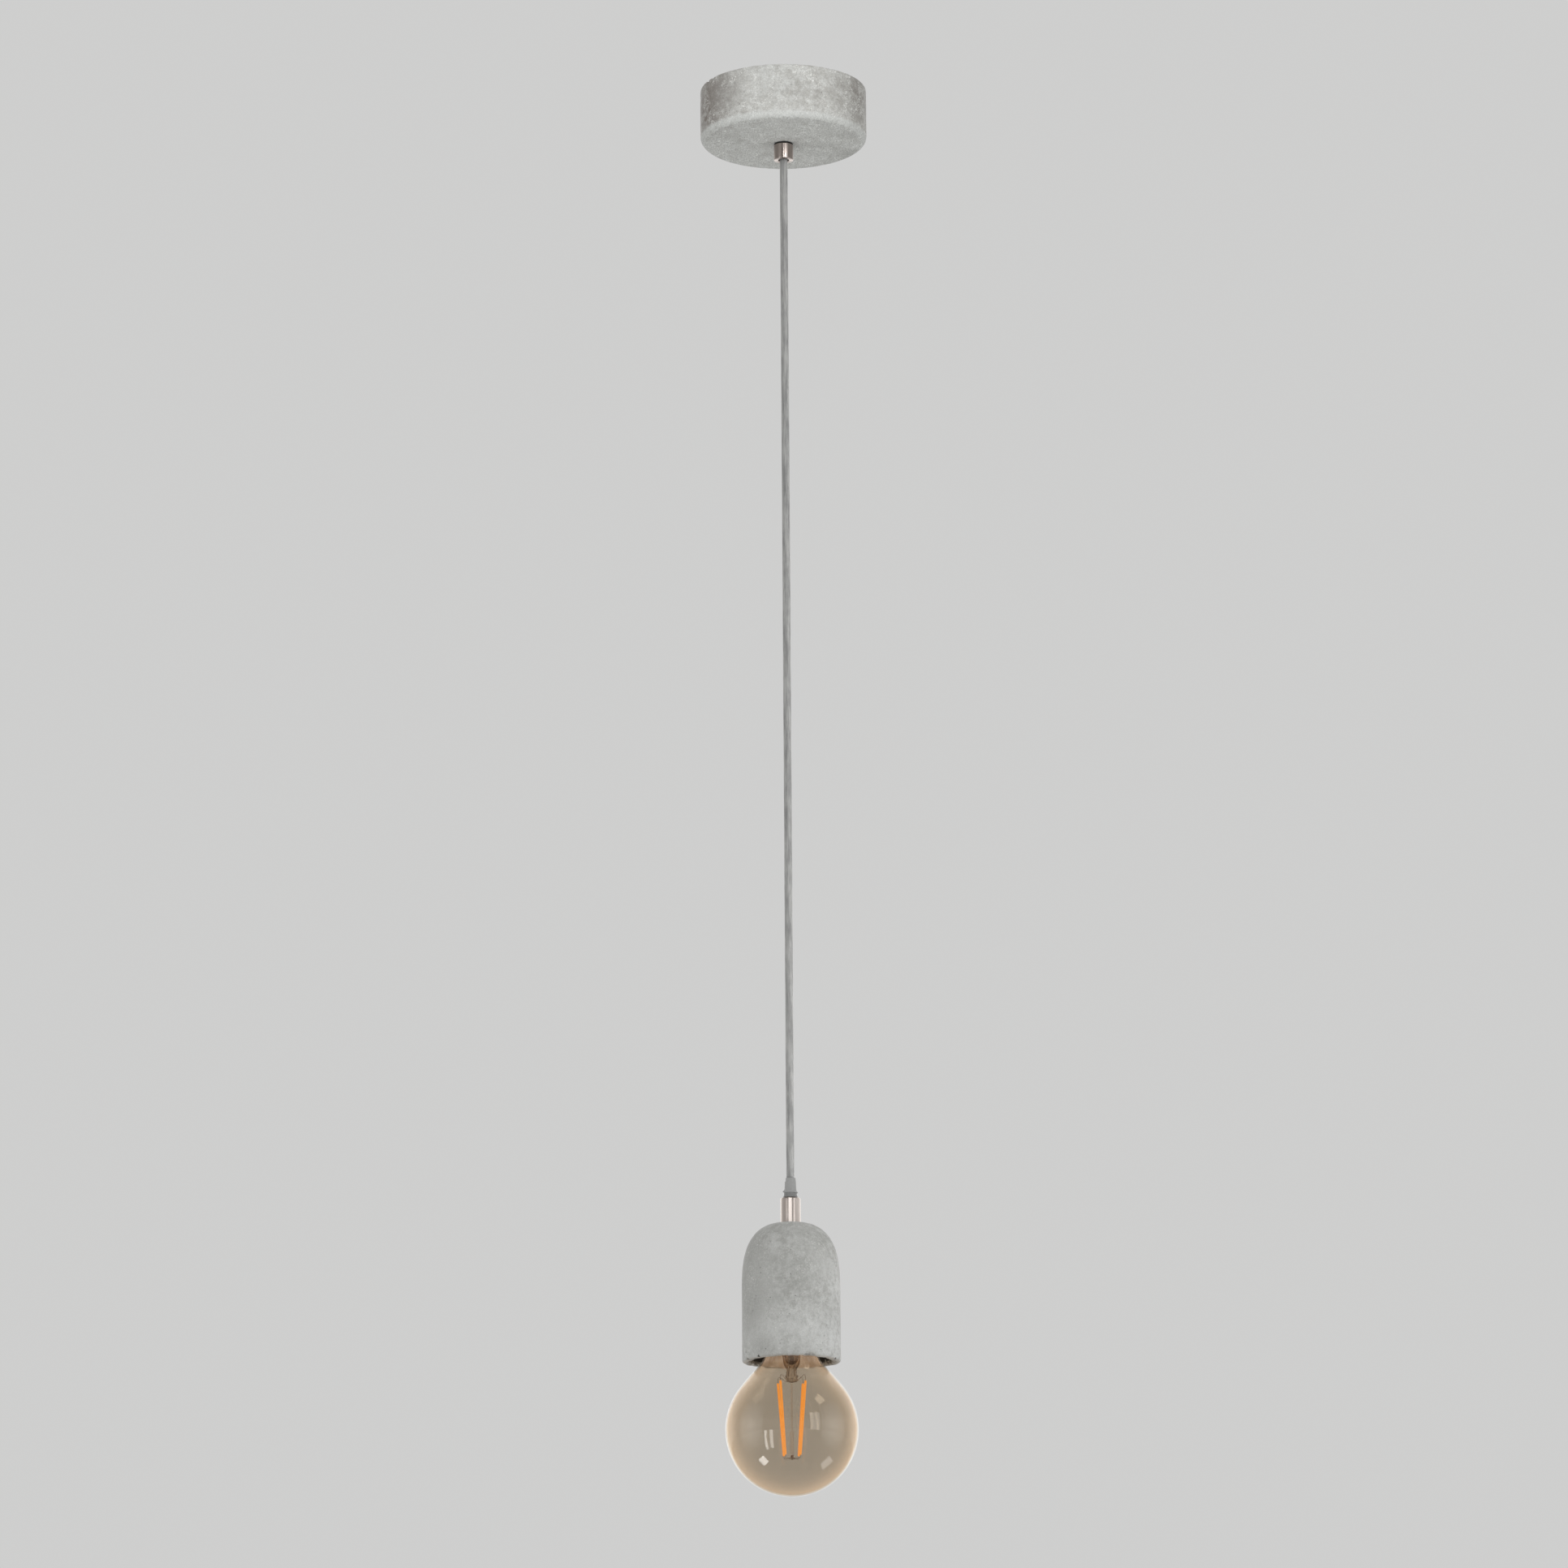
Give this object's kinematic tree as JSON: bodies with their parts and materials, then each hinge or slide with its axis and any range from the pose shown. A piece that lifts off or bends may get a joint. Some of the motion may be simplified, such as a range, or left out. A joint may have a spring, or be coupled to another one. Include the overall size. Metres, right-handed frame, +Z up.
{
  "type": "pendant ceiling light",
  "caption": "Pendant ceiling light: a concrete canopy and a cord that holds a domed concrete lampholder cup with an amber globe filament bulb.",
  "frame": {"origin": "centre of the canopy's rim, in the plane of the ceiling", "axes": "+Z up, away from the room; +X along the ceiling bracket; the picture looks along +Y"},
  "size_m": [0.105, 0.105, 0.8868],
  "materials": {
    "concrete": "matt cast concrete, mottled",
    "brushed_nickel": "brushed nickel",
    "galvanised_steel": "zinc plated",
    "brass": "plain brass",
    "dark_rubber": "matt",
    "grey_cord": "smooth braided sheath",
    "grey_nylon": "satin moulding",
    "white_nylon": "satin moulding",
    "black_phenolic": "satin moulding",
    "white_ceramic": "glazed",
    "brown_insulation": "semi-gloss",
    "blue_insulation": "semi-gloss",
    "earth_insulation": "semi-gloss",
    "amber_glass": "clear amber tint",
    "clear_glass": "clear",
    "filament_coating": "orange coating",
    "board_green": "circuit board"
  },
  "bodies": {
    "canopy": {"ceiling_bracket": "galvanised_steel", "hanger_tube": "galvanised_steel", "hanger_nut_upper": "galvanised_steel", "hanger_nut_lower": "galvanised_steel", "canopy_shell": "concrete", "grip_gasket": "dark_rubber", "grip_sleeve": "brushed_nickel", "clamp_bush": "white_nylon", "terminal_block": "white_nylon", "clamp_screw_1": "brass", "clamp_screw_2": "brass", "clamp_screw_3": "brass", "clamp_screw_4": "brass", "clamp_screw_5": "brass", "clamp_screw_6": "brass", "block_screw": "galvanised_steel", "earth_screw": "brass", "cord_in_canopy": "grey_cord", "conductor_live": "brown_insulation", "conductor_neutral": "blue_insulation", "conductor_earth": "earth_insulation"},
    "cord_start": {"cord_flex": "grey_cord"},
    "cord_line": {"cord": "grey_cord"},
    "collar_group": {"cord_in_collar": "grey_cord", "strain_relief": "grey_nylon", "collar": "brushed_nickel"},
    "cup_group": {"shade_cup": "concrete", "cup_washer": "galvanised_steel", "holder_nut": "galvanised_steel", "holder_tube": "galvanised_steel", "holder_cap": "black_phenolic", "holder_body": "black_phenolic", "screw_shell": "brass", "contact_base": "white_ceramic", "holder_screw_live": "brass", "holder_screw_neutral": "brass", "holder_wire_live": "brown_insulation", "holder_wire_neutral": "blue_insulation"},
    "contact": {"centre_contact": "brass"},
    "bulb_travel": {"bulb_insulator": "black_phenolic"},
    "bulb": {"bulb_cap": "brushed_nickel", "bulb_button": "brushed_nickel", "driver_board": "board_green", "driver_capacitor": "brown_insulation", "bulb_glass": "amber_glass", "glass_stem": "clear_glass", "glass_rod": "clear_glass", "filament_anchor": "galvanised_steel", "filament_1": "filament_coating", "filament_2": "filament_coating", "filament_3": "filament_coating", "filament_4": "filament_coating", "lead_wire_1": "galvanised_steel", "lead_wire_2": "galvanised_steel", "lead_wire_3": "galvanised_steel", "lead_wire_4": "galvanised_steel"}
  },
  "joints": [
    {"name": "swing_fore_aft", "type": "hinge", "parent": "canopy", "child": "cord_start", "pos_m": [0, 0, -0.045], "axis": [1, 0, 0], "range_deg": [-30, 30]},
    {"name": "swing_sideways", "type": "hinge", "parent": "cord_start", "child": "cord_line", "pos_m": [0, 0, -0.07], "axis": [0, 1, 0], "range_deg": [-30, 30]},
    {"name": "cup_tilt", "type": "hinge", "parent": "cord_line", "child": "collar_group", "pos_m": [0, 0, -0.693], "axis": [1, 0, 0], "range_deg": [-15, 15]},
    {"name": "cup_turn", "type": "hinge", "parent": "collar_group", "child": "cup_group", "pos_m": [0, 0, -0.7219], "axis": [0, 0, 1], "range_deg": [-180, 180]},
    {"name": "contact_press", "type": "slide", "parent": "cup_group", "child": "contact", "axis": [0, 0, 1], "range_m": [0, 0.001], "stiffness_N_per_m": 800},
    {"name": "bulb_travel", "type": "slide", "parent": "cup_group", "child": "bulb_travel", "axis": [0, 0, -1], "range_m": [0, 0.0218]},
    {"name": "bulb_turn", "type": "hinge", "parent": "bulb_travel", "child": "bulb", "pos_m": [0, 0, -0.8468], "axis": [0, 0, -1], "range_deg": [0, 2160]}
  ],
  "couplings": [
    {"joint": "bulb_travel", "follows": "bulb_turn", "m_per_rad": 0.00057757}
  ]
}
